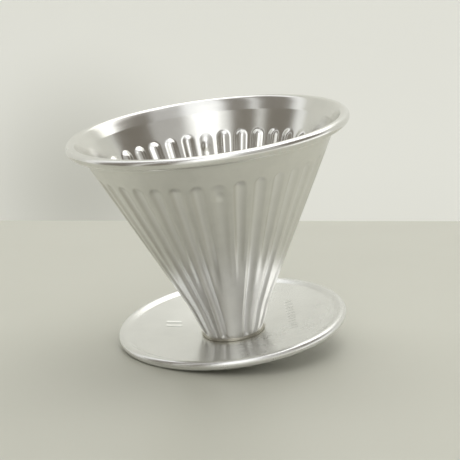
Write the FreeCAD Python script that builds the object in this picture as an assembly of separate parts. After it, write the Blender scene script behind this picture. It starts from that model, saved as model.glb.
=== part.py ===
"""Pour over dripper in sheet steel, written out as four separate solids.

All lengths are millimetres.  +Z is up along the cone's axis and the origin is
the centre of the outlet's lower end, the lowest point of the part.  The front
of the part, where the front round mark sits, faces -Y.

How it is put together: the fluted cone stands on the dished base plate with
its small out-turned foot.  The outlet sleeve's flared lip lies on the inner
ribs of the cone, its shoulder sits on the plate and its tube goes down through
the plate's hole.  The backing ring is pressed on that tube from below, so the
sleeve and the ring clamp the cone and the plate together.
"""
import FreeCAD
import Part
import math
import os

# ---- sheet and fits -------------------------------------------------------
SHEET = 0.8              # thickness of every pressed sheet
SEAT_GAP = 0.02          # between faces that are clamped on one another
LIP_GAP = 0.05           # between the sleeve's lip and the cone's ribs
HOLE_GAP = 0.35          # between the sleeve's tube and the plate's hole

# ---- base plate -----------------------------------------------------------
DISH_END_R = 45.3        # where the dish turns into the rolled edge
DISH_SLOPE = 0.167       # rise of the dish per millimetre of radius
DISH_REF_R = 13.4        # radius where the dish's height is stated
DISH_REF_Z = 4.4         # height of the dish's top surface there
PLATE_BEAD_OUT = 3.0     # from the dish's end out to the rolled edge's centre
PLATE_BEAD_DROP = 0.735  # and down to it
PLATE_BEAD_TUBE = 2.0    # outer radius of the rolled edge's section

# ---- fluted cone ----------------------------------------------------------
CONE_REF_R = 14.15       # outer radius of the plain cone at CONE_REF_Z
CONE_REF_Z = 10.4
CONE_SLOPE = 0.4823      # radius gained per millimetre of height
FOOT_SWELL = 1.3         # how far the wall stands out beyond the cone at the foot
SWELL_RUN = 14.0         # height over which it comes in to the plain cone
FOOT_FLANGE = 0.15       # from the foot's bend centre out to its brim
FOOT_BEND = 0.3          # inside radius of the foot's bend
CREASE_Z = 92.2          # height where the band turns out into the lip
BAND_HEIGHT = 8.4        # plain band between the flutes' crowns and the crease
BAND_SEAM = 6.5          # the part of it above the fluted wall's grid
RIM_BEAD_OUT = 4.0       # from the crease out to the rolled rim's centre
RIM_BEAD_UP = 3.3        # and up to it
RIM_BEAD_TUBE = 2.2      # outer radius of the rolled rim's section

# ---- flutes, pressed inwards ----------------------------------------------
FLUTE_COUNT = 36         # every other one is long, and the fronts are marked
FLUTE_PHASE = 2.0        # degrees from the front to the middle of flute 0
FLUTE_TOP_HALF = 3.1     # half width at the top
FLUTE_TOP_DEPTH = 1.25
LONG_END_HALF = 1.75     # half width of the long flutes at the foot
LONG_END_DEPTH = 0.85
LONG_END_RUN = 1.6       # height over which a long flute closes at the foot
SHORT_END_Z = 30.0       # the short flutes have run out by this height
SHORT_FADE = 32.0        # and get shallower over this much height above it
SHORT_END_HALF = 1.5
MARK_HALF = 3.6          # half width of the two wide, shallow panels
MARK_DEPTH = 0.7
MARK_PIP_DROP = 6.2      # from the crowns down to the round pip on each panel
MARK_PIP_R = 2.4
MARK_PIP_DEPTH = 0.45    # how far the pip goes in below its panel
GRID_ACROSS = 40         # spaces of the wall's grid over one long flute's pitch
JOIN = 1e-4              # how closely neighbouring faces' edges have to agree

# ---- outlet sleeve and backing ring ---------------------------------------
TUBE_R = 7.2             # outer radius of the outlet's tube
TUBE_SHEET = 0.8
LIP_TOP_Z = 11.0         # upper edge of the flared lip
RING_R = 12.5            # outer radius of the backing ring
RING_BOTTOM_Z = 1.6
EDGE = 0.25              # chamfer on turned edges
ROLL_SWEEP = 284.0       # degrees that a rolled edge is curled through

ALPHA = math.atan(CONE_SLOPE)
FLUTE_TOP_Z = CREASE_Z - BAND_HEIGHT
SPLIT_Z = CREASE_Z - BAND_SEAM


def cone_r(z, inset=0.0):
    """Radius at height z of the cone's outer surface set in by inset."""
    return CONE_REF_R + CONE_SLOPE * (z - CONE_REF_Z) - inset / math.cos(ALPHA)


def dish_z(r, drop=0.0):
    """Height at radius r of the dish's top surface moved down by drop."""
    rise = DISH_SLOPE * (r - DISH_REF_R)
    return DISH_REF_Z + rise - drop * math.hypot(1.0, DISH_SLOPE)


def spot(r, z):
    """Point of the section plane at radius r and height z."""
    return FreeCAD.Vector(r, 0, z)


def line(a, b):
    """Straight edge between two (r, z) pairs."""
    return Part.makeLine(spot(*a), spot(*b))


def arc(centre, radius, start, end):
    """Arc edge about an (r, z) centre, angles in degrees from +r."""
    ends = []
    for angle in (start, 0.5 * (start + end), end):
        turn = math.radians(angle)
        r = centre[0] + radius * math.cos(turn)
        z = centre[1] + radius * math.sin(turn)
        ends.append(spot(r, z))
    return Part.Arc(*ends).toShape()


def polar(centre, radius, angle):
    """The (r, z) pair at an angle in degrees on a circle of the section."""
    turn = math.radians(angle)
    return (centre[0] + radius * math.cos(turn), centre[1] + radius * math.sin(turn))


def spin(edges):
    """Solid of revolution about Z of a closed chain of section edges."""
    face = Part.Face(Part.Wire(Part.__sortEdges__(edges)))
    return face.revolve(spot(0, 0), FreeCAD.Vector(0, 0, 1), 360)


def spin_points(points):
    """Solid of revolution of a polygon given as (r, z) pairs."""
    closed = points + [points[0]]
    return spin([line(a, b) for a, b in zip(closed[:-1], closed[1:])])


def meet(p, angle_p, q, angle_q):
    """Crossing of two section lines given by point and angle in radians."""
    c_p, s_p = math.cos(angle_p), math.sin(angle_p)
    c_q, s_q = math.cos(angle_q), math.sin(angle_q)
    step = ((q[0] - p[0]) * s_q - (q[1] - p[1]) * c_q) / (c_p * s_q - s_p * c_q)
    return (p[0] + step * c_p, p[1] + step * s_p)


def rolled_path(start, start_far, crease, centre, tube):
    """Section edges of a sheet that turns at a crease and rolls its edge.

    start and crease lie on the face that ends up outside the roll, and
    start_far is where the sheet's other face begins.  The chain runs from
    start round the roll to start_far.
    """
    run = math.atan2(crease[1] - start[1], crease[0] - start[0])
    reach = math.hypot(centre[0] - crease[0], centre[1] - crease[1])
    aim = math.atan2(centre[1] - crease[1], centre[0] - crease[0])
    lip = aim + math.asin(tube / reach)
    off_run = (start[0] + SHEET * math.sin(run), start[1] - SHEET * math.cos(run))
    off_lip = (crease[0] + SHEET * math.sin(lip), crease[1] - SHEET * math.cos(lip))
    crease_far = meet(off_run, run, off_lip, lip)
    inner = tube - SHEET
    begin = math.degrees(lip) + 90.0
    end = begin - ROLL_SWEEP
    edges = [line(start, crease)]
    edges.append(line(crease, polar(centre, tube, begin)))
    edges.append(arc(centre, tube, begin, end))
    edges.append(line(polar(centre, tube, end), polar(centre, inner, end)))
    edges.append(arc(centre, inner, begin, end))
    edges.append(line(polar(centre, inner, begin), crease_far))
    edges.append(line(crease_far, start_far))
    return edges


def blend(low, high, share):
    """Value between low and high, share held between 0 and 1."""
    return low + (high - low) * min(1.0, max(0.0, share))


def foot_bend():
    """Centre (r, z) of the bend between the cone's wall and its foot."""
    a = cone_r(0.0, -FOOT_BEND) + FOOT_SWELL
    b = dish_z(0.0, -(FOOT_BEND + SHEET + SEAT_GAP))
    r = (a + CONE_SLOPE * b) / (1.0 - CONE_SLOPE * DISH_SLOPE)
    return (r, b + DISH_SLOPE * r)


def wall_end(inset):
    """Point (r, z) where the foot's bend meets the wall, inset into it."""
    return polar(foot_bend(), FOOT_BEND + inset, 180.0 - math.degrees(ALPHA))


def swell(z):
    """How far the wall stands out beyond the plain cone at height z."""
    top = wall_end(0.0)[1] + SHEET + SWELL_RUN
    share = blend(0.0, 1.0, (top - z) / SWELL_RUN)
    return FOOT_SWELL * share * share * (3 - 2 * share)


def foot_path():
    """Section edges of the foot, from the inner wall out and back inside."""
    centre = foot_bend()
    down = math.degrees(math.atan(DISH_SLOPE)) - 90.0
    wall = 180.0 - math.degrees(ALPHA)
    toe = polar(centre, FOOT_BEND + SHEET, down)
    upper = polar(centre, FOOT_BEND, down)
    brim_r = centre[0] + FOOT_FLANGE
    seat = (brim_r, dish_z(brim_r, -SEAT_GAP))
    brim = (brim_r, upper[1] + DISH_SLOPE * (brim_r - upper[0]))
    edges = [arc(centre, FOOT_BEND + SHEET, wall, down + 360.0)]
    edges.append(line(toe, seat))
    edges.append(line(seat, brim))
    edges.append(line(brim, upper))
    edges.append(arc(centre, FOOT_BEND, down + 360.0, wall))
    return edges


def band_path():
    """Section edges of the plain band, lip and rolled rim above the flutes."""
    start = (cone_r(SPLIT_Z, SHEET), SPLIT_Z)
    start_far = (cone_r(SPLIT_Z), SPLIT_Z)
    crease = (cone_r(CREASE_Z, SHEET), CREASE_Z)
    centre = (cone_r(CREASE_Z) + RIM_BEAD_OUT, CREASE_Z + RIM_BEAD_UP)
    return rolled_path(start, start_far, crease, centre, RIM_BEAD_TUBE)


def valley(along, across):
    """Press profile, 1 on a flute's middle line and 0 from its edge on."""
    return max(0.0, 1.0 - along ** 2 - across ** 2) ** 1.5


def flute_depth(side, z, half, depth):
    """Depth of a flute at a sideways distance and height under its crown."""
    above = max(0.0, z - (FLUTE_TOP_Z - half))
    return depth * valley(above / half, side / half)


def long_depth(side, z):
    """Depth of a long flute, which closes just above the foot."""
    low = wall_end(0.0)[1]
    share = (z - low) / (FLUTE_TOP_Z - low)
    half = blend(LONG_END_HALF, FLUTE_TOP_HALF, share)
    closing = math.sin(0.5 * math.pi * blend(0.0, 1.0, (z - low) / LONG_END_RUN))
    depth = closing * blend(LONG_END_DEPTH, FLUTE_TOP_DEPTH, share)
    return flute_depth(side, z, half, depth)


def short_depth(side, z):
    """Depth of a short flute, which fades out on its way down."""
    share = (z - SHORT_END_Z) / (FLUTE_TOP_Z - SHORT_END_Z)
    half = blend(SHORT_END_HALF, FLUTE_TOP_HALF, share)
    fade = blend(0.0, 1.0, (z - SHORT_END_Z) / SHORT_FADE)
    return flute_depth(side, z, half, FLUTE_TOP_DEPTH * fade * fade * (3 - 2 * fade))


def mark_depth(side, z):
    """Depth of a wide shallow panel and of the round pip on it."""
    share = (z - SHORT_END_Z) / (FLUTE_TOP_Z - SHORT_END_Z)
    half = blend(SHORT_END_HALF, MARK_HALF, share)
    panel = flute_depth(side, z, half, blend(0.0, MARK_DEPTH, 1.6 * share))
    above = z - (FLUTE_TOP_Z - MARK_PIP_DROP)
    pip = valley(above / MARK_PIP_R, side / MARK_PIP_R)
    return panel + MARK_PIP_DEPTH * pip


def wall_rows(low):
    """Heights of the wall's grid rows from low up to the split."""
    fine_top = FLUTE_TOP_Z - 9.0
    count_fine = 26
    count_mid = 24
    rows = [low + 0.25 * i * LONG_END_RUN for i in range(6)]
    start = rows[-1]
    rows += [start + (fine_top - start) * (i + 1) / count_mid for i in range(count_mid)]
    rows += [fine_top + (SPLIT_Z - fine_top) * (i + 1) / count_fine for i in range(count_fine)]
    return rows


def wall_face(inset, marked):
    """Fluted wall over one long flute's pitch, middle line at azimuth +X."""
    pitch = math.radians(720.0 / FLUTE_COUNT)
    rows = []
    for z in wall_rows(wall_end(inset)[1]):
        z_out = z - inset * math.sin(ALPHA)
        radius = cone_r(z, inset) + swell(z_out)
        if z > SPLIT_Z - 0.5:
            z_out = z
        row = []
        for step in range(GRID_ACROSS + 1):
            angle = pitch * (step / GRID_ACROSS - 0.5)
            side = radius * abs(angle)
            beside = radius * (0.5 * pitch - abs(angle))
            middle = mark_depth(side, z_out) if marked else long_depth(side, z_out)
            depth = max(middle, short_depth(beside, z_out))
            r = radius - depth * math.cos(ALPHA)
            height = z + depth * math.sin(ALPHA)
            row.append(FreeCAD.Vector(r * math.cos(angle), r * math.sin(angle), height))
        rows.append(row)
    surface = Part.BSplineSurface()
    surface.interpolate(rows)
    return surface.toShape()


def turned(shape, azimuth):
    """Copy of a shape turned about the cone's axis by degrees."""
    copy = shape.copy()
    copy.rotate(spot(0, 0), FreeCAD.Vector(0, 0, 1), azimuth)
    return copy


def fluted_cone():
    """Cone of one sheet: foot, flutes, plain band, lip and rolled rim."""
    pitch = 720.0 / FLUTE_COUNT
    count = FLUTE_COUNT // 2
    plain = [wall_face(0.0, False), wall_face(SHEET, False)]
    marked = [wall_face(0.0, True), wall_face(SHEET, True)]
    rings = []
    for edge in foot_path() + band_path():
        strip = turned(edge, -0.5 * pitch)
        rings.append(strip.revolve(spot(0, 0), FreeCAD.Vector(0, 0, 1), pitch))
    for face in plain + marked + rings:
        face.fixTolerance(JOIN)
    faces = []
    for index in range(count):
        walls = marked if index % (count // 2) == 0 else plain
        azimuth = FLUTE_PHASE - 90.0 + index * pitch
        faces += [turned(face, azimuth) for face in walls + rings]
    skin = Part.Shell(faces)
    skin.sewShape()
    cone = Part.Solid(skin)
    if cone.Volume < 0:
        cone.reverse()
    return cone


def base_plate():
    """Dished round plate with a hole and a rolled edge."""
    hole_r = TUBE_R + HOLE_GAP
    start = (hole_r, dish_z(hole_r))
    start_far = (hole_r, dish_z(hole_r, SHEET))
    crease = (DISH_END_R, dish_z(DISH_END_R))
    centre = (crease[0] + PLATE_BEAD_OUT, crease[1] - PLATE_BEAD_DROP)
    path = rolled_path(start, start_far, crease, centre, PLATE_BEAD_TUBE)
    return spin(path + [line(start_far, start)])


def rib_line(z):
    """Radius of the cone's inner ribs' crests at height z."""
    low = wall_end(0.0)[1]
    share = (z - low) / (FLUTE_TOP_Z - low)
    inset = SHEET + LONG_END_DEPTH + share * (FLUTE_TOP_DEPTH - LONG_END_DEPTH)
    return cone_r(z, inset) + swell(z - inset * math.sin(ALPHA))


def outlet_sleeve():
    """Drawn spout: flared lip, shoulder on the plate and short tube."""
    lean = (rib_line(LIP_TOP_Z) - rib_line(DISH_REF_Z)) / (LIP_TOP_Z - DISH_REF_Z)
    tilt = math.atan(lean)
    lip_r = rib_line(LIP_TOP_Z) - LIP_GAP
    shoulder = meet((lip_r, LIP_TOP_Z), math.pi / 2 - tilt,
                    (0.0, dish_z(0.0, -SEAT_GAP)), math.atan(DISH_SLOPE))
    bore = TUBE_R - TUBE_SHEET
    inner_lip = lip_r - TUBE_SHEET / math.cos(tilt)
    inner_floor = meet((inner_lip, LIP_TOP_Z), math.pi / 2 - tilt,
                       (0.0, dish_z(0.0, -SEAT_GAP - TUBE_SHEET)), math.atan(DISH_SLOPE))
    points = [(bore + EDGE, 0), (TUBE_R - EDGE, 0), (TUBE_R, EDGE)]
    points.append((TUBE_R, dish_z(TUBE_R, -SEAT_GAP)))
    points.append(shoulder)
    points.append((lip_r - 0.35 * lean, LIP_TOP_Z - 0.35))
    points.append((lip_r - 0.35, LIP_TOP_Z))
    points.append((inner_lip, LIP_TOP_Z))
    points.append(inner_floor)
    points.append((bore + EDGE, dish_z(bore + EDGE, -SEAT_GAP - TUBE_SHEET)))
    points.append((bore, dish_z(bore, -SEAT_GAP - TUBE_SHEET) - EDGE))
    points.append((bore, EDGE))
    return spin_points(points)


def backing_ring():
    """Turned ring pressed on the tube under the plate."""
    points = [(TUBE_R, RING_BOTTOM_Z), (RING_R - EDGE, RING_BOTTOM_Z)]
    points.append((RING_R, RING_BOTTOM_Z + EDGE))
    points.append((RING_R, dish_z(RING_R, SHEET + SEAT_GAP)))
    points.append((TUBE_R, dish_z(TUBE_R, SHEET + SEAT_GAP)))
    return spin_points(points)


def main():
    """Write every piece to its own file."""
    os.makedirs("parts", exist_ok=True)
    fluted_cone().exportStep("parts/fluted_cone.step")
    base_plate().exportStep("parts/base_plate.step")
    outlet_sleeve().exportStep("parts/outlet_sleeve.step")
    backing_ring().exportStep("parts/backing_ring.step")


main()
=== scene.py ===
"""Pour over dripper in polished sheet steel, tipped over on a pale table.

The row frame has +Z up along the cone's axis, its origin at the outlet's lower
end and the front on -Y.  The dripper leans on its outlet and on the edge of its
plate, so the table is tilted in this frame.  Sizes of the dripper are in
millimetres until a mesh is made; everything else is in metres.
"""
import logging
import math
from dataclasses import dataclass, field
from enum import Enum
from itertools import product
from typing import Any

import bpy
import numpy as np
from mathutils import Matrix, Vector


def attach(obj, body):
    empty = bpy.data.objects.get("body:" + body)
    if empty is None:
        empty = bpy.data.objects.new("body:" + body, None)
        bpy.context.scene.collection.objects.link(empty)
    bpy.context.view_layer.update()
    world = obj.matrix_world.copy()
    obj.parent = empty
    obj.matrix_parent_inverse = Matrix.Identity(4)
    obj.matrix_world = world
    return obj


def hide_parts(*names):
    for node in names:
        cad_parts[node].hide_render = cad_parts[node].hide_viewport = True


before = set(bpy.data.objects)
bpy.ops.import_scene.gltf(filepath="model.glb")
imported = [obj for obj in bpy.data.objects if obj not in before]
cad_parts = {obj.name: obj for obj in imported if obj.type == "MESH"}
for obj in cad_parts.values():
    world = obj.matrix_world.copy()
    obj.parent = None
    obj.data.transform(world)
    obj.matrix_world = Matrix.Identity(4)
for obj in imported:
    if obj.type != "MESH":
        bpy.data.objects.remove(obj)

LOG = logging.getLogger("dripper")

# The dripper's shared sizes, in millimetres and degrees.
MM = 0.001
SHEET = 0.8
CONE_SLOPE = 0.4823
CONE_REF_R, CONE_REF_Z = 14.15, 10.4
ALPHA = math.atan(CONE_SLOPE)
DISH_SLOPE = 0.167
DISH_REF_R, DISH_REF_Z = 13.4, 4.4
PHASE = 2.0

# The plate's stamped marks, in metres.
DOT_PITCH = 0.0031
DOT_ROW_X = 0.0262
DOT_ROW_MIDDLE = 0.0035
BAR_X = -0.0261
BAR_ROWS = (0.0120, 0.0080)
STAMP_FLOOR = 0.0036
STAMP_DEPTH = 240e-6

Colour = tuple[float, float, float]
Triple = tuple[float, float, float]
Pair = tuple[float, float]


class Grain(Enum):
    """Which way the fine lines of a polished sheet run."""

    SPUN = "round the axis"
    DRAWN = "up the wall"


class Stamp(Enum):
    """Small generic marks pressed into the plate."""

    NONE = "plain"
    DOTS = "row of dots and two bars"


class Face(Enum):
    """Which face of the cone's sheet a point of its section is on."""

    REST = 0
    OUTER = 1
    INNER = 2
    BAND = 3


# ---------------------------------------------------------------- node trees


class Bench:
    """Lays out and joins the nodes of one tree."""

    def __init__(self, tree: bpy.types.NodeTree) -> None:
        """Start from an empty tree."""
        self.tree = tree
        tree.nodes.clear()

    def put(self, socket: Any, value: Any) -> None:
        """Join an output to a socket, or set the socket's own value.

        Args:
            socket: The socket that takes it.
            value: An output, a plain value, or None to leave the socket alone.
        """
        if isinstance(value, bpy.types.NodeSocket):
            self.tree.links.new(value, socket)
        elif value is not None:
            socket.default_value = value

    def node(self, kind: str, inputs: dict[Any, Any] | None = None, **settings: Any) -> Any:
        """Add a node.

        Args:
            kind: Blender's name of the node's type.
            inputs: Value or output for each socket, by name or number.
            settings: Properties set on the node itself.

        Returns:
            The new node.
        """
        made = self.tree.nodes.new(kind)
        for name, value in settings.items():
            setattr(made, name, value)
        for name, value in (inputs or {}).items():
            self.put(made.inputs[name], value)
        return made

    def calc(self, operation: str, a: Any, b: Any = None, c: Any = None) -> Any:
        """Output of one Math node."""
        made = self.node("ShaderNodeMath", {0: a, 1: b, 2: c}, operation=operation)
        return made.outputs[0]

    def away(self, value: Any, middle: Any) -> Any:
        """How far a value is from a middle, either way."""
        return self.calc("ABSOLUTE", self.calc("SUBTRACT", value, middle))

    def vector(self, operation: str, a: Any, b: Any = None) -> Any:
        """Vector output of one Vector Math node."""
        return self.node("ShaderNodeVectorMath", {0: a, 1: b}, operation=operation).outputs[0]

    def measure(self, operation: str, a: Any, b: Any = None) -> Any:
        """Number output of one Vector Math node, such as a length or a dot product."""
        made = self.node("ShaderNodeVectorMath", {0: a, 1: b}, operation=operation)
        return made.outputs["Value"]

    def split(self, vector: Any) -> Any:
        """The three numbers of a vector."""
        return self.node("ShaderNodeSeparateXYZ", {0: vector}).outputs

    def field(self, name: str) -> Any:
        """Number that the mesh carries at each point under that name."""
        return self.node("ShaderNodeAttribute", attribute_name=name).outputs["Fac"]

    def join(self, x: Any, y: Any, z: Any) -> Any:
        """Vector of three numbers."""
        return self.node("ShaderNodeCombineXYZ", {0: x, 1: y, 2: z}).outputs[0]

    def noise(self, where: Any, scale: float, detail: float = 2.0, rough: float = 0.5) -> Any:
        """Noise between 0 and 1 at a position."""
        inputs = {"Vector": where, "Scale": scale, "Detail": detail, "Roughness": rough}
        return self.node("ShaderNodeTexNoise", inputs).outputs[0]

    def ease(self, value: Any, low: float, high: float, start: Any = 0.0, end: Any = 1.0) -> Any:
        """Smooth step of a value.

        Args:
            value: What is stepped.
            low: Value at which the step begins.
            high: Value at which it ends.
            start: Result below the step.
            end: Result above it.

        Returns:
            Output between start and end.
        """
        inputs = {0: value, 1: low, 2: high, 3: start, 4: end}
        made = self.node("ShaderNodeMapRange", inputs, interpolation_type="SMOOTHSTEP")
        return made.outputs[0]

    def mix(self, share: Any, a: Any, b: Any) -> Any:
        """Mix two colours.

        Args:
            share: How much of the second colour, 0 to 1.
            a: First colour.
            b: Second colour.

        Returns:
            The mixed colour's output.
        """
        made = self.node("ShaderNodeMix", data_type="RGBA")
        self.put(made.inputs[0], share)
        self.put(made.inputs[6], a)
        self.put(made.inputs[7], b)
        return made.outputs[2]

    def bump(self, height: Any, depth: float, under: Any = None) -> Any:
        """Normal of a relief of that depth in metres, laid over another."""
        inputs = {"Height": height, "Distance": depth, "Strength": 1.0, "Normal": under}
        return self.node("ShaderNodeBump", inputs).outputs[0]


def rgba(colour: Colour) -> tuple[float, float, float, float]:
    """Colour with full cover."""
    return (*colour, 1.0)


# ------------------------------------------------------------------ finishes


@dataclass(frozen=True)
class SteelFinish:
    """Polished sheet steel with fine lines, smears, scratches and stains.

    Depths are in metres.  Each gain is how much rougher the metal gets where
    its share is full: wear on proud edges, which also carries a painted sheen on
    the cone's outside pressings; satin on the outside of the cone; and painted
    shade lines in flute flanks and at the foot's crevice.
    """

    name: str
    colour: Colour
    roughness: float = 0.16
    grain: Grain = Grain.SPUN
    grain_depth: float = 0.6e-6
    wave_depth: float = 30e-6
    smear: float = 0.08
    scratch_depth: float = 0.5e-6
    wear_and_sheen_gain: float = 0.06
    satin_gain: float = 0.14
    fine_gain: float = 0.10
    cloud_gain: float = 0.05
    scratch_gain: float = 0.06
    drop_gain: float = 0.03
    line_shade_gain: float = 0.08
    stamp: Stamp = Stamp.NONE

    def _flow(self, bench: Bench, spot: Any) -> Any:
        """Position stretched so that noise on it runs along the grain.

        Round the axis the lines are close together across radius plus height
        and long along the turn; up the wall it is the other way about.

        Args:
            bench: Tree that is being built.
            spot: Position on the piece.

        Returns:
            The stretched position.
        """
        part = bench.split(spot)
        flat = bench.join(part[0], part[1], 0.0)
        radius = bench.measure("LENGTH", flat)
        turned = bench.split(bench.vector("NORMALIZE", flat))
        around, across = (7.0, 2300.0) if self.grain is Grain.SPUN else (260.0, 60.0)
        run = bench.calc("MULTIPLY", bench.calc("ADD", radius, part[2]), across)
        x = bench.calc("MULTIPLY", turned[0], around)
        y = bench.calc("MULTIPLY", turned[1], around)
        return bench.join(x, y, run)

    def _scratches(self, bench: Bench, spot: Any) -> Any:
        """Thin stray lines in three directions, kept to a few patches.

        Each line is where noise, stretched long one way and turned, peaks.

        Args:
            bench: Tree that is being built.
            spot: Position on the piece.

        Returns:
            1 on a line and 0 off it.
        """
        total: Any = 0.0
        for turn, tilt in ((0.35, 0.2), (1.45, -0.5), (2.55, 0.9)):
            inputs = {
                "Vector": spot,
                "Rotation": (tilt, 0.4 * tilt, turn),
                "Scale": (38.0, 900.0, 300.0),
            }
            place = bench.node("ShaderNodeMapping", inputs).outputs[0]
            line = bench.ease(bench.noise(place, 1.0, 1.0), 0.70, 0.76)
            total = bench.calc("MAXIMUM", total, line)
        patch = bench.ease(bench.noise(spot, 28.0, 2.0), 0.48, 0.66)
        return bench.calc("MULTIPLY", total, patch)

    def _spots(self, bench: Bench, spot: Any) -> Any:
        """Dried drops: faint rings where a cell's distance nears its radius.

        Args:
            bench: Tree that is being built.
            spot: Position on the piece.

        Returns:
            1 on a ring and 0 off it.
        """
        cells = bench.node("ShaderNodeTexVoronoi", {"Vector": spot, "Scale": 120.0})
        away = cells.outputs["Distance"]
        ring = bench.calc("SUBTRACT", bench.ease(away, 0.14, 0.2), bench.ease(away, 0.22, 0.3))
        few = bench.ease(bench.noise(spot, 17.0, 1.0), 0.56, 0.62)
        return bench.calc("MULTIPLY", ring, few)

    def _stamped(self, bench: Bench, spot: Any) -> Any:
        """Generic marks: a row of dots and two short bars.

        The dots stand evenly along one line, where a cosine of the place on it
        peaks, and the bars are soft boxes on the other side of the plate.

        Args:
            bench: Tree that is being built.
            spot: Position on the piece.

        Returns:
            Share of the stamped depth.
        """
        part = bench.split(spot)
        beat = bench.calc("COSINE", bench.calc("MULTIPLY", part[1], 2.0 * math.pi / DOT_PITCH))
        on_row = bench.ease(bench.away(part[0], DOT_ROW_X), 0.0012, 0.0020, 1.0, 0.0)
        in_row = bench.ease(bench.away(part[1], DOT_ROW_MIDDLE), 0.0170, 0.0174, 1.0, 0.0)
        row = bench.calc("MULTIPLY", on_row, in_row)
        marks = bench.calc("MULTIPLY", bench.ease(beat, -0.3, 0.5), row)
        for middle in BAR_ROWS:
            along = bench.ease(bench.away(part[0], BAR_X), 0.0030, 0.0038, 1.0, 0.0)
            thick = bench.ease(bench.away(part[1], middle), 0.0004, 0.0013, 0.7, 0.0)
            marks = bench.calc("MAXIMUM", marks, bench.calc("MULTIPLY", along, thick))
        above = bench.calc("GREATER_THAN", part[2], STAMP_FLOOR)
        return bench.calc("MULTIPLY", marks, above)

    def make(self) -> bpy.types.Material:
        """Build the material.

        Roughness is the polish's own plus each share times its gain, and the
        relief is a slow wave, then the fine lines, the scratches and the stamp.

        Returns:
            A metal whose roughness, colour and relief vary over the piece.
        """
        material = bpy.data.materials.new(self.name)
        material.use_nodes = True
        bench = Bench(material.node_tree)
        spot = bench.node("ShaderNodeTexCoord").outputs["Object"]
        flow = self._flow(bench, spot)
        fine = bench.noise(flow, 1.0, 4.0, 0.65)
        smear = bench.ease(bench.noise(spot, 34.0, 5.0, 0.6), 0.42, 0.72)
        cloud = bench.noise(spot, 90.0, 6.0, 0.7)
        scratch = self._scratches(bench, spot)
        drops = self._spots(bench, spot)
        wear_and_painted_sheen, painted_line_shade, satin = (bench.field(name) for name in ("wear_and_painted_sheen", "painted_line_shade", "satin"))

        rough: Any = self.roughness
        for share, gain in (
            (smear, self.smear),
            (satin, self.satin_gain),
            (bench.calc("SUBTRACT", fine, 0.5), self.fine_gain),
            (bench.calc("SUBTRACT", cloud, 0.5), self.cloud_gain),
            (scratch, self.scratch_gain),
            (drops, self.drop_gain),
            (wear_and_painted_sheen, self.wear_and_sheen_gain),
            (painted_line_shade, self.line_shade_gain),
        ):
            rough = bench.calc("MULTIPLY_ADD", share, gain, rough)

        dull = tuple(0.80 * c for c in self.colour)
        warm = (0.62 * self.colour[0], 0.60 * self.colour[1], 0.54 * self.colour[2])
        bright = tuple(min(0.95, 1.3 * c) for c in self.colour)
        colour = bench.mix(bench.ease(cloud, 0.35, 0.8, 0.0, 0.35), rgba(self.colour), rgba(dull))
        colour = bench.mix(bench.calc("MULTIPLY", drops, 0.08), colour, rgba(warm))
        # Painted shade: this share darkens the colour in flute flanks and in the crevice at the
        # foot, where shade falls.
        colour = bench.mix(bench.calc("MULTIPLY", painted_line_shade, 0.6), colour, rgba(warm))
        # Wear lightens the rubbed rim and plate edges; on the cone's outside pressings the same
        # share is a painted sheen.
        colour = bench.mix(bench.calc("MULTIPLY", wear_and_painted_sheen, 0.5), colour, rgba(bright))

        normal = bench.bump(bench.noise(spot, 52.0, 1.0), self.wave_depth)
        normal = bench.bump(fine, self.grain_depth, normal)
        normal = bench.bump(bench.calc("SUBTRACT", 1.0, scratch), self.scratch_depth, normal)
        if self.stamp is not Stamp.NONE:
            sunk = bench.calc("SUBTRACT", 1.0, self._stamped(bench, spot))
            normal = bench.bump(sunk, STAMP_DEPTH, normal)

        inputs = {"Base Color": colour, "Metallic": 1.0, "Roughness": rough, "Normal": normal}
        skin = bench.node("ShaderNodeBsdfPrincipled", inputs)
        bench.node("ShaderNodeOutputMaterial", {0: skin.outputs[0]})
        return material


@dataclass(frozen=True)
class StagePaint:
    """Pale, faintly mottled surface of the table or the wall.

    The painted shade is how far one soft round patch of painted shadow, about
    a place and of the given reach, goes towards its dark tint.
    """

    name: str
    colour: Colour
    roughness: float
    gloss: float
    fleck: float
    painted_shade: float = 0.0
    painted_shade_place: Triple = (0.0, 0.0, 0.0)
    painted_shade_reach: float = 0.2
    painted_shade_tint: Colour = (0.21, 0.21, 0.16)

    def make(self) -> bpy.types.Material:
        """Build the material.

        Returns:
            A paint with fine grain in colour, roughness and relief.
        """
        material = bpy.data.materials.new(self.name)
        material.use_nodes = True
        bench = Bench(material.node_tree)
        spot = bench.node("ShaderNodeTexCoord").outputs["Object"]
        fine = bench.noise(spot, 700.0, 4.0, 0.6)
        broad = bench.noise(spot, 6.0, 3.0)
        dark = tuple((1.0 - self.fleck) * c for c in self.colour)
        colour = bench.mix(bench.calc("MULTIPLY", fine, broad), rgba(self.colour), rgba(dark))
        # Painted shade: one soft dark patch standing in for a shadow on the table or the wall.
        if self.painted_shade > 0.0:
            length = bench.measure("LENGTH", bench.vector("SUBTRACT", spot, self.painted_shade_place))
            share = bench.ease(length, 0.0, self.painted_shade_reach, self.painted_shade, 0.0)
            colour = bench.mix(share, colour, rgba(self.painted_shade_tint))
        rough = bench.ease(broad, 0.3, 0.7, self.roughness - 0.03, self.roughness + 0.03)
        normal = bench.bump(fine, 8e-6)
        inputs = {"Base Color": colour, "Roughness": rough, "Normal": normal}
        skin = bench.node("ShaderNodeBsdfPrincipled", inputs)
        bench.put(skin.inputs["Specular IOR Level"], self.gloss)
        bench.node("ShaderNodeOutputMaterial", {0: skin.outputs[0]})
        return material


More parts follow.
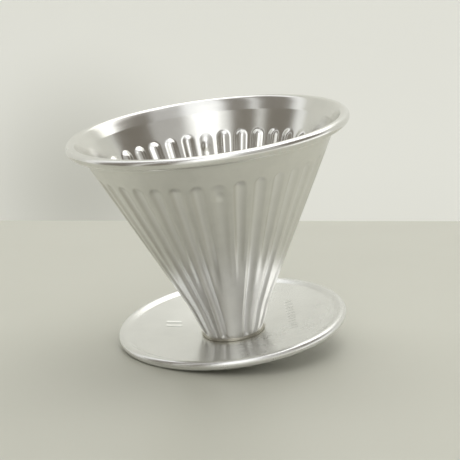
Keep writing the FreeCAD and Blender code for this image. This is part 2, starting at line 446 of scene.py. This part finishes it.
CONE_STEEL = SteelFinish(
    "cone_polish",
    (0.79, 0.785, 0.76),
    roughness=0.17,
    grain=Grain.DRAWN,
    grain_depth=0.3e-6,
    wave_depth=9e-6,
)
PLATE_STEEL = SteelFinish(
    "plate_polish", (0.80, 0.80, 0.785), roughness=0.21, wave_depth=12e-6, stamp=Stamp.DOTS
)
SLEEVE_STEEL = SteelFinish("sleeve_polish", (0.76, 0.76, 0.74), roughness=0.24)
RING_STEEL = SteelFinish("ring_turned", (0.72, 0.72, 0.70), roughness=0.30, grain_depth=1.5e-6)
# The table's painted shade darkens its front left, standing in for uneven light.
TABLE_PAINT = StagePaint(
    "table_paint",
    (0.60, 0.597, 0.525),
    roughness=0.34,
    gloss=0.55,
    fleck=0.05,
    painted_shade=0.26,
    painted_shade_place=(-0.26, -0.36, 0.03),
    painted_shade_reach=0.55,
)
# The wall's painted shade is a soft painted shadow of the dripper, behind and to its left.
WALL_PAINT = StagePaint(
    "wall_paint",
    (0.94, 0.945, 0.915),
    roughness=0.8,
    gloss=0.1,
    fleck=0.02,
    painted_shade=0.40,
    painted_shade_place=(-0.150, 0.794, -0.122),
    painted_shade_reach=0.18,
)


# ---------------------------------------------------------------- sections


def cone_r(z: Any, inset: float = 0.0) -> Any:
    """Radius of the plain cone at height z, set in by inset square to it."""
    return CONE_REF_R + CONE_SLOPE * (z - CONE_REF_Z) - inset / math.cos(ALPHA)


def dish_z(r: Any, drop: float = 0.0) -> Any:
    """Height of the plate's dish at radius r, moved down by drop square to it."""
    return DISH_REF_Z + DISH_SLOPE * (r - DISH_REF_R) - drop * math.hypot(1.0, DISH_SLOPE)


def curve(centre: Pair, radius: float, start: float, end: float, count: int) -> np.ndarray:
    """Points on a circle of the section: the centre plus radius times cosine and sine.

    Args:
        centre: The circle's centre as (r, z).
        radius: Its radius.
        start: Angle of the first point, in degrees from +r.
        end: Angle of the last point.
        count: Number of points.

    Returns:
        Points as rows of (r, z).
    """
    turn = np.radians(np.linspace(start, end, count))
    return np.stack([centre[0] + radius * np.cos(turn), centre[1] + radius * np.sin(turn)], 1)


def run(a: Pair, b: Pair, count: int) -> np.ndarray:
    """Evenly spaced points from a to b, without b itself."""
    share = np.arange(count)[:, None] / count
    return np.array(a) * (1.0 - share) + np.array(b) * share


def softened(before: Pair, corner: Pair, after: Pair, radius: float, count: int) -> np.ndarray:
    """Round a section's corner.

    The arc touches both sides at radius times the tangent of half the turn
    from the corner, and its points are blended as a circle seen from its middle.

    Args:
        before: Point on the way in.
        corner: The sharp corner.
        after: Point on the way out.
        radius: Radius of the rounding.
        count: Number of points.

    Returns:
        Points on the arc, in order.
    """
    c = np.array(corner)
    a = (np.array(before) - c) / np.linalg.norm(np.array(before) - c)
    b = (np.array(after) - c) / np.linalg.norm(np.array(after) - c)
    half = 0.5 * math.acos(float(np.clip(a @ b, -1.0, 1.0)))
    middle = c + (a + b) / np.linalg.norm(a + b) * radius / math.sin(half)
    p = c + a * radius / math.tan(half) - middle
    q = c + b * radius / math.tan(half) - middle
    turn = math.pi - 2.0 * half
    share = np.linspace(0.0, 1.0, count)[:, None]
    return middle + (np.sin((1.0 - share) * turn) * p + np.sin(share * turn) * q) / math.sin(turn)


@dataclass(frozen=True)
class RolledEdge:
    """Sheet that turns at a crease, runs out as a lip and rolls into a bead.

    tube is the bead's outer radius, soft the rounding of the crease and sweep
    the degrees that the bead is curled through.
    """

    start: Pair
    crease: Pair
    centre: Pair
    tube: float
    soft: float
    sweep: float = 284.0

    def far(self, start_far: Pair) -> tuple[np.ndarray, np.ndarray]:
        """Work out both faces of the sheet.

        The lip touches the bead's circle, so it leaves the crease at the angle
        to the circle's centre plus the angle whose sine is tube over distance.

        Args:
            start_far: Where the sheet's other face begins.

        Returns:
            Points from start along the outside of the roll to its end, and
            from the end inside the roll back to start_far.
        """
        go = math.atan2(self.crease[1] - self.start[1], self.crease[0] - self.start[0])
        gap = (self.centre[0] - self.crease[0], self.centre[1] - self.crease[1])
        lip = math.atan2(gap[1], gap[0]) + math.asin(self.tube / math.hypot(*gap))
        off_go = (self.start[0] + SHEET * math.sin(go), self.start[1] - SHEET * math.cos(go))
        off_lip = (self.crease[0] + SHEET * math.sin(lip), self.crease[1] - SHEET * math.cos(lip))
        cross = math.cos(go) * math.sin(lip) - math.sin(go) * math.cos(lip)
        gap_far = (off_lip[0] - off_go[0], off_lip[1] - off_go[1])
        step = (gap_far[0] * math.sin(lip) - gap_far[1] * math.cos(lip)) / cross
        crease_far = (off_go[0] + step * math.cos(go), off_go[1] + step * math.sin(go))
        begin = math.degrees(lip) + 90.0
        outer = curve(self.centre, self.tube, begin, begin - self.sweep, 26)
        inner = curve(self.centre, self.tube - SHEET, begin - self.sweep, begin, 12)
        near = [softened(self.start, self.crease, tuple(outer[0]), self.soft, 6)]
        near += [run(tuple(near[0][-1]), tuple(outer[0]), 3)[1:], outer]
        back_soft = self.soft + (SHEET if lip < go else -0.4 * self.soft)
        turn = softened(tuple(inner[-1]), crease_far, start_far, back_soft, 6)
        back = [inner, run(tuple(inner[-1]), tuple(turn[0]), 3)[1:], turn]
        return np.concatenate(near), np.concatenate(back)


# ------------------------------------------------------------------- meshes


def skin(
    name: str, points: np.ndarray, fields: dict[str, np.ndarray], sharp: float = 50.0
) -> bpy.types.Object:
    """Make a closed ring-shaped mesh.

    Row i of the grid is one point of the closed section, carried round the
    axis along the columns, and both ways of the grid close on themselves.

    Args:
        name: Name of the piece.
        points: Grid of positions in metres, rows by columns by three.
        fields: Numbers per point, kept as attributes.
        sharp: Faces that meet at more degrees than this keep their edge.

    Returns:
        The new object, with its faces outwards.
    """
    rows, columns = points.shape[:2]
    i = np.arange(rows)[:, None]
    j = np.arange(columns)[None, :]
    i_next = (i + 1) % rows
    j_next = (j + 1) % columns
    near, far = i * columns, i_next * columns
    quads = np.stack([near + j, near + j_next, far + j_next, far + j], -1).reshape(-1, 4)
    flat = points.reshape(-1, 3)
    a, b, c, d = flat[quads].transpose(1, 0, 2)
    volume = np.einsum("ij,ij->", a, np.cross(b, c) + np.cross(c, d))
    if volume < 0:
        quads = quads[:, ::-1]
    mesh = bpy.data.meshes.new(name)
    mesh.from_pydata(flat.tolist(), [], quads.tolist())
    for key, values in fields.items():
        layer = mesh.attributes.new(key, "FLOAT", "POINT")
        layer.data.foreach_set("value", np.ascontiguousarray(values, np.float32).ravel())
    mesh.polygons.foreach_set("use_smooth", np.ones(len(quads), bool))
    mesh.update()
    mesh.set_sharp_from_angle(angle=math.radians(sharp))
    made = bpy.data.objects.new(name, mesh)
    bpy.context.scene.collection.objects.link(made)
    return made


def carried_round(section: np.ndarray, columns: int) -> np.ndarray:
    """Carry a section once round the axis: r times cosine, r times sine, z.

    Args:
        section: Rows of (r, z) in millimetres.
        columns: Number of places round the axis.

    Returns:
        Grid of positions in metres, rows by columns by three.
    """
    turn = np.linspace(0.0, 2.0 * math.pi, columns, endpoint=False)[None, :]
    r = section[:, :1]
    z = np.repeat(section[:, 1:], columns, axis=1)
    return MM * np.stack([r * np.cos(turn), r * np.sin(turn), z], -1)


# ------------------------------------------------------------ the dripper


@dataclass
class FlutedCone:
    """The one-piece cone: foot, 36 pressed flutes, plain band, lip and rim.

    Lengths are millimetres.  Long flutes reach the foot, short ones fade out,
    and the panels with a pip stand in for a long flute a quarter of the count
    apart; half is a half width.
    """

    flutes: int = 36
    columns_per_flute: int = 14
    arch_z: float = 74.5
    crown_z: float = 83.8
    split_z: float = 85.7
    top_half: float = 3.1
    top_depth: float = 1.25
    long_half: float = 1.75
    long_depth: float = 0.85
    closing: float = 1.6
    short_z: float = 30.0
    short_fade: float = 32.0
    short_half: float = 1.5
    panel_half: float = 3.6
    panel_depth: float = 0.7
    pip_z: float = 77.6
    pip_r: float = 2.4
    pip_depth: float = 0.45
    foot_bend: float = 0.3
    foot_centre: Pair = (13.440, 5.542)
    foot_brim: float = 13.59
    swell: float = 1.3
    swell_run: float = 14.0
    crease_z: float = 92.2
    rim_centre: Pair = (57.6, 95.5)
    rim_tube: float = 2.19
    rim_soft: float = 1.6
    rim_worn: Pair = (59.0, 97.2)
    finish: SteelFinish = CONE_STEEL
    piece: Any = field(default=None, repr=False)

    def _low(self, inset: float) -> float:
        """Height where the foot's bend meets the wall's face at that inset."""
        return self.foot_centre[1] + (self.foot_bend + inset) * math.sin(math.pi - ALPHA)

    def _press(
        self, side: np.ndarray, z: np.ndarray, half: np.ndarray, depth: np.ndarray
    ) -> np.ndarray:
        """Depth of one kind of flute.

        The press profile is one less the squares of the sideways distance and
        of the height above the crown's start, both over the half width, to the
        power one and a half, and nothing outside that.

        Args:
            side: Distances from the flute's middle line, rows by columns.
            z: Heights of the rows.
            half: Half widths of the flute at those heights.
            depth: Depths on its middle line.

        Returns:
            Depths, rows by columns.
        """
        above = np.maximum(0.0, z - (self.crown_z - half))
        return depth * np.maximum(0.0, 1.0 - (above / half) ** 2 - (side / half) ** 2) ** 1.5

    def _depth(self, turn: np.ndarray, z: np.ndarray, radius: np.ndarray) -> np.ndarray:
        """Depth of the pressing all over the wall.

        Even flutes are long, close at the foot and are shallow wide panels with
        a round pip at the front and back; odd ones fade out on their way down.

        Args:
            turn: Degrees from the front flute's middle line.
            z: Heights of the rows.
            radius: Radii of the rows.

        Returns:
            Depths in millimetres, rows by columns.
        """
        pitch = 720.0 / self.flutes
        index = np.round(turn / pitch)
        offset = np.abs(turn - index * pitch)
        side = radius * np.radians(offset)
        beside = radius * np.radians(0.5 * pitch - offset)
        low = self._low(0.0)
        share = np.clip((z - low) / (self.crown_z - low), 0.0, 1.0)
        closing = np.sin(0.5 * math.pi * np.clip((z - low) / self.closing, 0.0, 1.0))
        uneven = 1.0 + 0.07 * np.sin(2.3 * index + 0.7)
        half = self.long_half + (self.top_half - self.long_half) * share
        deep = closing * uneven * (self.long_depth + (self.top_depth - self.long_depth) * share)
        middle = self._press(side, z, half, deep)
        rise = np.clip((z - self.short_z) / (self.crown_z - self.short_z), 0.0, 1.0)
        wide = self.short_half + (self.panel_half - self.short_half) * rise
        panel = self._press(side, z, wide, self.panel_depth * np.clip(1.6 * rise, 0.0, 1.0))
        off_pip = ((z - self.pip_z) / self.pip_r) ** 2 + (side / self.pip_r) ** 2
        pip = np.maximum(0.0, 1.0 - off_pip) ** 1.5
        marked = np.mod(index, self.flutes // 4) == 0
        middle = np.where(marked, panel + self.pip_depth * pip, middle)
        fade = np.clip((z - self.short_z) / self.short_fade, 0.0, 1.0)
        uneven = 1.0 + 0.07 * np.sin(1.7 * np.floor(turn / pitch) + 2.1)
        half = self.short_half + (self.top_half - self.short_half) * rise
        deep = self.top_depth * uneven * fade * fade * (3.0 - 2.0 * fade)
        return np.maximum(middle, self._press(beside, z, half, deep))

    def _wall(self, inset: float) -> np.ndarray:
        """Section of the wall's face from the foot up, closer at both ends.

        Near the foot it stands out by the swell times a smooth step of height.

        Args:
            inset: How far the face lies inside the outer one.

        Returns:
            Points as rows of (r, z).
        """
        low = self._low(inset)
        foot = low + 0.42 * np.arange(5)
        straight = np.linspace(foot[-1], self.arch_z, 18)[1:]
        arches = np.linspace(self.arch_z, self.split_z, 22)[1:]
        z = np.concatenate([foot, straight, arches])
        top = self._low(0.0) + SHEET + self.swell_run
        share = np.clip((top - z + inset * math.sin(ALPHA)) / self.swell_run, 0.0, 1.0)
        out = self.swell * share * share * (3.0 - 2.0 * share)
        return np.stack([cone_r(z, inset) + out, z], 1)

    def _foot(self) -> list[np.ndarray]:
        """Out-turned foot: under the bend, round the brim and back over the bend.

        Returns:
            The four runs of its section, in order.
        """
        slope = math.degrees(ALPHA)
        down = math.degrees(math.atan(DISH_SLOPE)) + 270.0
        under = curve(self.foot_centre, self.foot_bend + SHEET, 180.0 - slope, down, 9)[1:]
        over = curve(self.foot_centre, self.foot_bend, down, 180.0 - slope, 6)[:-1]
        brim = self.foot_brim
        low = dish_z(brim, -0.02)
        high = over[0][1] + DISH_SLOPE * (brim - over[0][0])
        toe = np.array([(brim - 0.03, low - 0.005), (brim, low + 0.05)])
        top = np.array([(brim, high - 0.05), (brim - 0.03, high - 0.005)])
        return [under, toe, top, over]

    def _section(self) -> tuple[np.ndarray, np.ndarray]:
        """Closed section of the whole sheet.

        Returns:
            Its points as rows of (r, z), and the face that each one is on.
        """
        outer, inner = self._wall(0.0), self._wall(SHEET)
        crease = (cone_r(self.crease_z, SHEET), self.crease_z)
        edge = RolledEdge(
            tuple(inner[-1]), crease, self.rim_centre, self.rim_tube, self.rim_soft
        )
        near, back = edge.far(tuple(outer[-1]))
        named = [
            (Face.OUTER, outer),
            (Face.BAND, run(tuple(outer[-1]), tuple(back[-1]), 3)[1:]),
            (Face.BAND, back[::-1]),
            (Face.REST, near[::-1]),
            (Face.REST, run(tuple(near[0]), tuple(inner[-1]), 3)[1:]),
            (Face.INNER, inner[::-1]),
        ]
        named += [(Face.REST, points) for points in self._foot()]
        kind = np.concatenate([np.full(len(points), face.value) for face, points in named])
        return np.concatenate([points for _, points in named]), kind

    def build(self) -> "FlutedCone":
        """Press the flutes into the cone and close it into one sheet.

        A point of the wall moves in square to the wall by the pressing's depth,
        which is inwards by depth times the cosine and up by depth times the
        sine of the cone's half angle.  A painted sheen lightens the outside
        pressings and wear marks the top of the rim; painted shade darkens one flank
        of each flute, where the depth changes fastest round the axis, and the
        crevice at the foot; satin marks the outside.

        Returns:
            The cone itself.
        """
        section, kind = self._section()
        columns = self.flutes * self.columns_per_flute
        turn = np.linspace(0.0, 360.0, columns, endpoint=False)[None, :]
        r, z = section[:, :1], section[:, 1:]
        inside = (kind == Face.INNER.value)[:, None]
        outside = (kind == Face.OUTER.value)[:, None]
        z_press = np.where(inside & (z < self.split_z - 0.5), z - SHEET * math.sin(ALPHA), z)
        pressed = (kind != Face.REST.value)[:, None]
        depth = np.where(pressed, self._depth(turn, z_press, r), 0.0)
        angle = np.radians(turn + PHASE - 90.0)
        radius = r - depth * math.cos(ALPHA)
        height = z + depth * math.sin(ALPHA)
        points = MM * np.stack([radius * np.cos(angle), radius * np.sin(angle), height], -1)
        sunk = np.clip(depth / self.top_depth, 0.0, 1.0)
        bead = np.clip(1.0 - np.hypot(r - self.rim_worn[0], z - self.rim_worn[1]) / 1.6, 0.0, 1.0)
        # The outside pressings are lightened as a painted sheen; the top of the rim is rubbed wear.
        wear_and_painted_sheen = np.where(outside, sunk, 0.0) + bead
        # Painted shade: a dark line on one flank of each outside flute and in the crevice at the
        # foot.
        flank = np.maximum(0.0, np.roll(depth, -1, 1) - np.roll(depth, 1, 1))
        flank = (flank / (flank.max(1, keepdims=True) + 0.02)) ** 3
        foot = ~pressed & (r < self.foot_brim + 0.41)
        painted_line_shade = np.where(outside, flank, foot * 1.6)
        satin = np.isin(kind, (Face.OUTER.value, Face.BAND.value))[:, None] + 0.0 * depth
        self.piece = skin("cone_sheet", points, {"wear_and_painted_sheen": wear_and_painted_sheen, "painted_line_shade": painted_line_shade, "satin": satin})
        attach(self.piece, "root")
        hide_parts("fluted_cone")
        return self

    def dress(self) -> "FlutedCone":
        """Give the cone its polish.

        Returns:
            The cone itself.
        """
        self.piece.data.materials.append(self.finish.make())
        LOG.info("cone_sheet: %d faces", len(self.piece.data.polygons))
        return self


@dataclass
class BasePlate:
    """The dished round plate with its hole and rolled edge.

    Lengths are millimetres; worn_r is where the rolled edge is rubbed bright
    and foot_r where a painted shade line stands for the shadow in the crevice
    round the cone's foot.
    """

    hole_r: float = 7.55
    crease_r: float = 45.3
    centre: Pair = (48.3, 8.992)
    tube: float = 2.0
    soft: float = 1.6
    worn_r: float = 50.1
    foot_r: float = 13.4
    columns: int = 480
    finish: SteelFinish = PLATE_STEEL
    piece: Any = field(default=None, repr=False)

    def build(self) -> "BasePlate":
        """Carry the plate's section round the axis.

        Returns:
            The plate itself.
        """
        start = (self.hole_r, dish_z(self.hole_r))
        start_far = (self.hole_r, dish_z(self.hole_r, SHEET))
        crease = (self.crease_r, dish_z(self.crease_r))
        edge = RolledEdge(start, crease, self.centre, self.tube, self.soft)
        near, back = edge.far(start_far)
        top = run((start[0] + 0.12, start[1] + 0.02), tuple(near[0]), 26)
        turned_in = (start_far[0] + 0.12, start_far[1] + 0.02)
        under = run(tuple(back[-1]), turned_in, 16)[1:]
        lip = [turned_in, (start_far[0], start_far[1] + 0.12), (start[0], start[1] - 0.12)]
        section = np.concatenate([top, near, back, under, np.array(lip)])
        points = carried_round(section, self.columns)
        ones = np.ones((1, self.columns))
        bead = np.clip(1.0 - np.abs(section[:, :1] - self.worn_r) / 0.5, 0.0, 1.0)
        # Painted shade: a dark line round the crevice where the cone's foot meets the plate.
        foot = 1.5 * np.clip(1.3 - np.abs(section[:, :1] - self.foot_r) / 0.8, 0.0, 1.0)
        self.piece = skin("plate_sheet", points, {"wear_and_painted_sheen": bead * ones, "painted_line_shade": foot * ones})
        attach(self.piece, "root")
        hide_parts("base_plate")
        return self

    def dress(self) -> "BasePlate":
        """Give the plate its polish.

        Returns:
            The plate itself.
        """
        self.piece.data.materials.append(self.finish.make())
        LOG.info("plate_sheet: %d faces", len(self.piece.data.polygons))
        return self


@dataclass
class Outlet:
    """The drawn sleeve and the ring that clamps it, kept as they come."""

    sleeve_finish: SteelFinish = SLEEVE_STEEL
    ring_finish: SteelFinish = RING_STEEL

    def dress(self) -> "Outlet":
        """Swap the plain materials of both pieces for polished ones.

        Returns:
            The outlet itself.
        """
        finishes = {"outlet_sleeve": self.sleeve_finish, "backing_ring": self.ring_finish}
        for name, finish in finishes.items():
            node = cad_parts[name]
            material = finish.make()
            for place in node.material_slots:
                place.material = material
            LOG.info("%s: dressed", name)
        return self


# -------------------------------------------------------------- the studio


@dataclass(frozen=True)
class Lobe:
    """Soft-edged patch of the room that the steel mirrors.

    middle and half are its azimuth and half width in degrees, share how far
    it goes towards its tint, and foot and head the heights on the unit sphere
    where it begins and ends.
    """

    middle: float
    half: float
    share: float
    foot: float
    head: float
    tint: Colour


DARK_ROOM = (0.10, 0.08, 0.052)
LOBES = (
    Lobe(-41.0, 14.0, 0.86, -0.2, 0.84, DARK_ROOM),
    Lobe(-79.0, 18.0, 0.86, -0.2, 0.84, DARK_ROOM),
    Lobe(82.0, 26.0, 0.90, 0.22, 0.84, DARK_ROOM),
    Lobe(37.0, 20.0, 0.60, 0.12, 0.84, DARK_ROOM),
    Lobe(100.0, 34.0, 0.8, -0.1, 0.02, (1.9, 1.9, 1.85)),
)


@dataclass
class Studio:
    """Table, wall, lights and camera round the leaning dripper.

    up is the table's normal in the row frame and drop the distance of its
    plane below the origin.  Directions round the dripper are given as degrees
    to the right of the line to the camera, and degrees above the table.
    frame_right, frame_up and look are the camera's own three directions.
    """

    up: Vector = field(default_factory=lambda: Vector((0.1272, 0.1068, 0.9861)).normalized())
    drop: float = 0.00116
    ahead: Vector = field(init=False)
    side: Vector = field(init=False)
    eye: Triple = (0.0041, -0.4839, 0.1963)
    look: Triple = (0.0, 0.9574, -0.2888)
    frame_right: Triple = (0.9918, -0.0369, -0.1222)
    frame_up: Triple = (0.1277, 0.2865, 0.9496)
    lens: float = 91.77
    brightness: float = 1.13

    def __post_init__(self) -> None:
        """Take the way the camera looks, level with the table."""
        look = Vector(self.look)
        self.ahead = (look - look.dot(self.up) * self.up).normalized()
        self.side = self.ahead.cross(self.up)

    def way(self, azimuth: float, elevation: float) -> Vector:
        """Direction from the dripper.

        Args:
            azimuth: Degrees to the right of the line to the camera.
            elevation: Degrees above the table.

        Returns:
            Unit vector in the row frame.
        """
        a, e = math.radians(azimuth), math.radians(elevation)
        level = math.sin(a) * self.side - math.cos(a) * self.ahead
        return math.cos(e) * level + math.sin(e) * self.up

    def place(self, across: float, beyond: float, above: float) -> Vector:
        """Point given across, beyond and above the table's middle."""
        return across * self.side + beyond * self.ahead + (above - self.drop) * self.up

    def _slab(self, name: str, low: Triple, high: Triple, paint: StagePaint) -> None:
        """Add a box with rounded edges.

        Args:
            name: Name of the object.
            low: Lowest corner, across, beyond and above the table's middle.
            high: Highest corner.
            paint: What it is painted with.
        """
        spans = product(*zip(low, high))
        faces = [(0, 1, 3, 2), (4, 6, 7, 5), (0, 4, 5, 1), (2, 3, 7, 6), (0, 2, 6, 4), (1, 5, 7, 3)]
        mesh = bpy.data.meshes.new(name)
        mesh.from_pydata([tuple(self.place(*corner)) for corner in spans], [], faces)
        slab = bpy.data.objects.new(name, mesh)
        bpy.context.scene.collection.objects.link(slab)
        bevel = slab.modifiers.new("edge", "BEVEL")
        bevel.width = 0.004
        bevel.segments = 3
        mesh.materials.append(paint.make())

    def _lamp(self, name: str, toward: Pair, away: float, size: Pair, power: float) -> None:
        """Add a soft rectangular light that faces the dripper.

        Args:
            name: Name of the light.
            toward: Its azimuth and elevation from the dripper, in degrees.
            away: Its distance in metres.
            size: Its width and height in metres.
            power: Its power in watts.
        """
        data = bpy.data.lights.new(name, "AREA")
        data.shape = "RECTANGLE"
        data.size, data.size_y = size
        data.energy = power
        data.color = (1.0, 1.0, 0.98)
        lamp = bpy.data.objects.new(name, data)
        target = self.place(0.0, 0.0, 0.05)
        spot = target + away * self.way(*toward)
        back = (spot - target).normalized()
        across = self.up.cross(back).normalized()
        rise = back.cross(across)
        lamp.matrix_world = Matrix((across, rise, back)).transposed().to_4x4()
        lamp.location = spot
        lamp.visible_camera = False
        bpy.context.scene.collection.objects.link(lamp)

    def _world(self) -> None:
        """Room light: paler above and behind, darker to both sides in front.

        The room's colour is a mix by direction, and each lobe is laid over it
        by a smooth step of the angle off its middle times two of the height.
        The camera itself sees a plain grey.
        """
        world = bpy.data.worlds.new("room")
        bpy.context.scene.world = world
        world.use_nodes = True
        bench = Bench(world.node_tree)
        way = bench.node("ShaderNodeTexCoord").outputs["Generated"]
        rise = bench.measure("DOT_PRODUCT", way, tuple(self.up))
        across = bench.measure("DOT_PRODUCT", way, tuple(self.side))
        nearer = bench.measure("DOT_PRODUCT", way, tuple(-self.ahead))
        round_about = bench.calc("ARCTAN2", across, nearer)
        front = bench.ease(nearer, -0.3, 0.8)
        low = bench.mix(front, rgba((0.82, 0.825, 0.80)), rgba((0.72, 0.715, 0.66)))
        colour = bench.mix(bench.ease(rise, 0.1, 0.9), low, rgba((1.08, 1.09, 1.09)))
        for lobe in LOBES:
            off = bench.away(round_about, math.radians(lobe.middle))
            inner, outer = math.radians(lobe.half - 6.0), math.radians(lobe.half + 5.0)
            wide = bench.ease(off, inner, outer, lobe.share, 0.0)
            above = bench.ease(rise, lobe.foot, lobe.foot + 0.2)
            below = bench.ease(rise, lobe.head, lobe.head + 0.14, 1.0, 0.0)
            cover = bench.calc("MULTIPLY", wide, bench.calc("MULTIPLY", above, below))
            colour = bench.mix(cover, colour, rgba(lobe.tint))
        seen = bench.node("ShaderNodeLightPath").outputs["Is Camera Ray"]
        colour = bench.mix(seen, colour, rgba((0.70, 0.70, 0.66)))
        sky = bench.node("ShaderNodeBackground", {0: colour, 1: self.brightness})
        bench.node("ShaderNodeOutputWorld", {0: sky.outputs[0]})

    def _camera(self) -> None:
        """Camera level with the table, looking down at the dripper."""
        data = bpy.data.cameras.new("camera")
        data.lens = self.lens
        data.sensor_width = 36.0
        data.clip_start = 0.01
        camera = bpy.data.objects.new("camera", data)
        turned = (self.frame_right, self.frame_up, -Vector(self.look))
        camera.matrix_world = Matrix(turned).transposed().to_4x4()
        camera.location = self.eye
        bpy.context.scene.collection.objects.link(camera)
        bpy.context.scene.camera = camera

    def build(self) -> "Studio":
        """Set up everything round the dripper.

        Returns:
            The studio itself.
        """
        self._slab("table", (-1.1, -0.9, -0.03), (1.1, 0.31, 0.0), TABLE_PAINT)
        self._slab("wall", (-2.2, 0.8, -1.2), (2.2, 0.84, 1.6), WALL_PAINT)
        self._lamp("window", (-4.0, 33.0), 1.3, (0.50, 0.85), 0.8)
        self._lamp("ceiling", (148.0, 68.0), 1.05, (1.1, 1.1), 3.4)
        self._world()
        self._camera()
        bpy.context.scene.view_settings.view_transform = "Standard"
        LOG.info("studio: ready")
        return self


def main() -> None:
    """Build every piece in order."""
    logging.basicConfig(level=logging.INFO, format="%(name)s: %(message)s")
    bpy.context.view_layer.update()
    FlutedCone().build().dress()
    BasePlate().build().dress()
    Outlet().dress()
    Studio().build()


if __name__ == "__main__":
    main()
